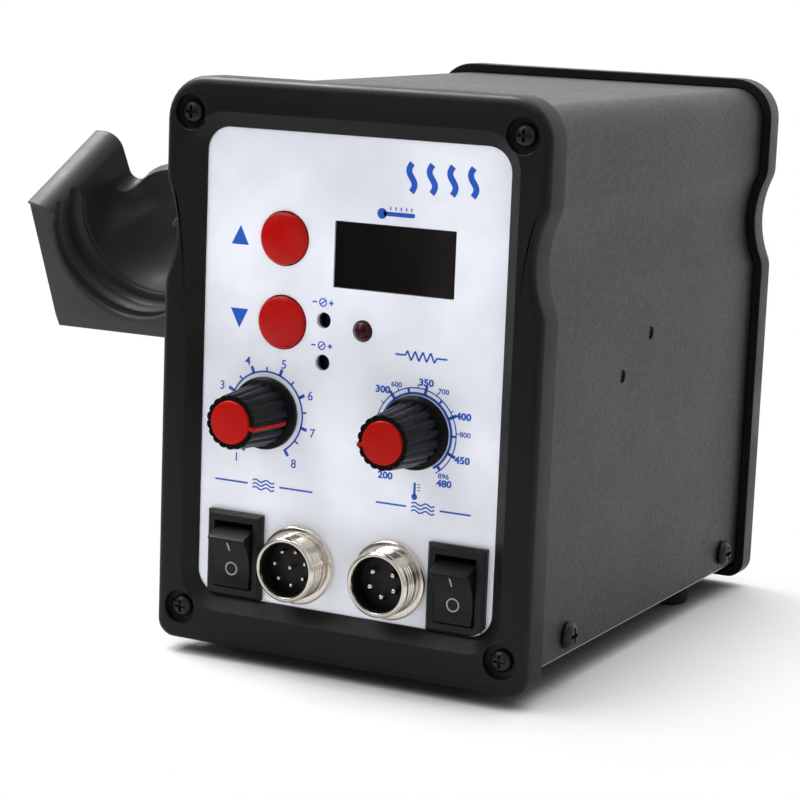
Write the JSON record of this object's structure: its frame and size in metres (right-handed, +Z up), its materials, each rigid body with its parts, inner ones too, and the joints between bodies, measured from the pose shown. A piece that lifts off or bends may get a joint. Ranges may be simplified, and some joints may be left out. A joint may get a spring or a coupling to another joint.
{
  "type": "hot air rework station",
  "caption": "Bench hot air and soldering station: boxy housing with waisted bezels, knobs, rockers, round sockets and a side cradle for the air handle.",
  "frame": {"origin": "middle of the whole object's outline seen from above, holder and knobs included, on the surface that the feet stand on", "axes": "+Z up, front panel faces -Y, +X to the right of somebody facing the front panel"},
  "size_m": [0.147, 0.1662, 0.1405],
  "materials": {
    "bezel": "satin",
    "panel": "satin",
    "chassis": "zinc plated",
    "cover": "fine textured powder coat",
    "black_screws": "black oxide",
    "rubber": "matt",
    "zinc": "zinc plated",
    "holder": "satin",
    "window": "dark tinted",
    "dark_plastic": "matt",
    "board": "solder mask",
    "brass": "turned",
    "button": "gloss",
    "lamp": "clear dark red",
    "trimmer": "matt",
    "knob": "satin",
    "knob_cap": "satin",
    "switch_black": "satin",
    "socket_metal": "nickel plated",
    "core": "varnished laminations",
    "winding": "taped copper",
    "heat_sink": "anodised",
    "fuse_glass": "clear"
  },
  "bodies": {
    "station": {"front_bezel": "bezel", "front_panel": "panel", "chassis": "chassis", "rear_bezel": "bezel", "cover": "cover", "cover_screws": "black_screws", "front_bezel_screws": "black_screws", "rear_bezel_screws": "black_screws", "feet": "rubber", "foot_screws": "zinc", "handle_holder": "holder", "holder_magnet": "zinc", "holder_screws": "black_screws", "cover_nuts": "zinc", "display_window": "window", "display_module": "dark_plastic", "control_board": "board", "board_standoffs": "brass", "board_screws": "zinc", "button_switches": "dark_plastic", "heater_lamp": "lamp", "trimmer_bodies": "trimmer", "airflow_pot": "zinc", "temperature_pot": "zinc", "pot_nuts": "zinc", "rework_switch_frame": "switch_black", "iron_switch_frame": "switch_black", "switch_terminals": "brass", "rework_socket_shell": "socket_metal", "iron_socket_shell": "socket_metal", "rework_socket_insert": "switch_black", "iron_socket_insert": "switch_black", "rework_socket_pins": "socket_metal", "iron_socket_pins": "socket_metal", "socket_nuts": "zinc", "transformer_core": "core", "transformer_winding": "winding", "transformer_frame": "zinc", "transformer_screws": "zinc", "power_board": "board", "power_board_parts": "heat_sink", "power_board_standoffs": "brass", "mains_inlet": "switch_black", "inlet_blades": "brass"},
    "up_button": {"button_up_cap": "button", "button_up_plunger": "dark_plastic"},
    "down_button": {"button_down_cap": "button", "button_down_plunger": "dark_plastic"},
    "airflow_control": {"airflow_knob": "knob", "airflow_knob_cap": "knob_cap", "airflow_shaft": "zinc"},
    "temperature_control": {"temperature_knob": "knob", "temperature_knob_cap": "knob_cap", "temperature_shaft": "zinc"},
    "rework_power_rocker": {"rework_rocker": "switch_black"},
    "iron_power_rocker": {"iron_rocker": "switch_black"},
    "upper_trimmer": {"upper_trimmer_rotor": "zinc"},
    "lower_trimmer": {"lower_trimmer_rotor": "zinc"},
    "fuse_carrier": {"fuse_drawer": "switch_black", "fuse": "fuse_glass"}
  },
  "joints": [
    {"name": "up_button_press", "type": "slide", "parent": "station", "child": "up_button", "axis": [0, 1, 0], "range_m": [0, 0.001], "stiffness_N_per_m": 600},
    {"name": "down_button_press", "type": "slide", "parent": "station", "child": "down_button", "axis": [0, 1, 0], "range_m": [0, 0.001], "stiffness_N_per_m": 600},
    {"name": "airflow_turn", "type": "hinge", "parent": "station", "child": "airflow_control", "pos_m": [0.0015, -0.069, 0.06185], "axis": [0, -1, 0], "range_deg": [-45, 248]},
    {"name": "temperature_turn", "type": "hinge", "parent": "station", "child": "temperature_control", "pos_m": [0.0415, -0.069, 0.06185], "axis": [0, -1, 0], "range_deg": [-245, 48]},
    {"name": "rework_power_tilt", "type": "hinge", "parent": "station", "child": "rework_power_rocker", "pos_m": [-0.0055, -0.06375, 0.0264], "axis": [-1, 0, 0], "range_deg": [0, 24]},
    {"name": "iron_power_tilt", "type": "hinge", "parent": "station", "child": "iron_power_rocker", "pos_m": [0.0541, -0.06375, 0.0264], "axis": [-1, 0, 0], "range_deg": [0, 24]},
    {"name": "upper_trimmer_turn", "type": "hinge", "parent": "station", "child": "upper_trimmer", "pos_m": [0.0163, -0.057, 0.0855], "axis": [0, -1, 0], "range_deg": [-130, 130]},
    {"name": "lower_trimmer_turn", "type": "hinge", "parent": "station", "child": "lower_trimmer", "pos_m": [0.0163, -0.057, 0.0755], "axis": [0, -1, 0], "range_deg": [-130, 130]},
    {"name": "fuse_drawer_slide", "type": "slide", "parent": "station", "child": "fuse_carrier", "axis": [0, 1, 0], "range_m": [0, 0.022]}
  ]
}
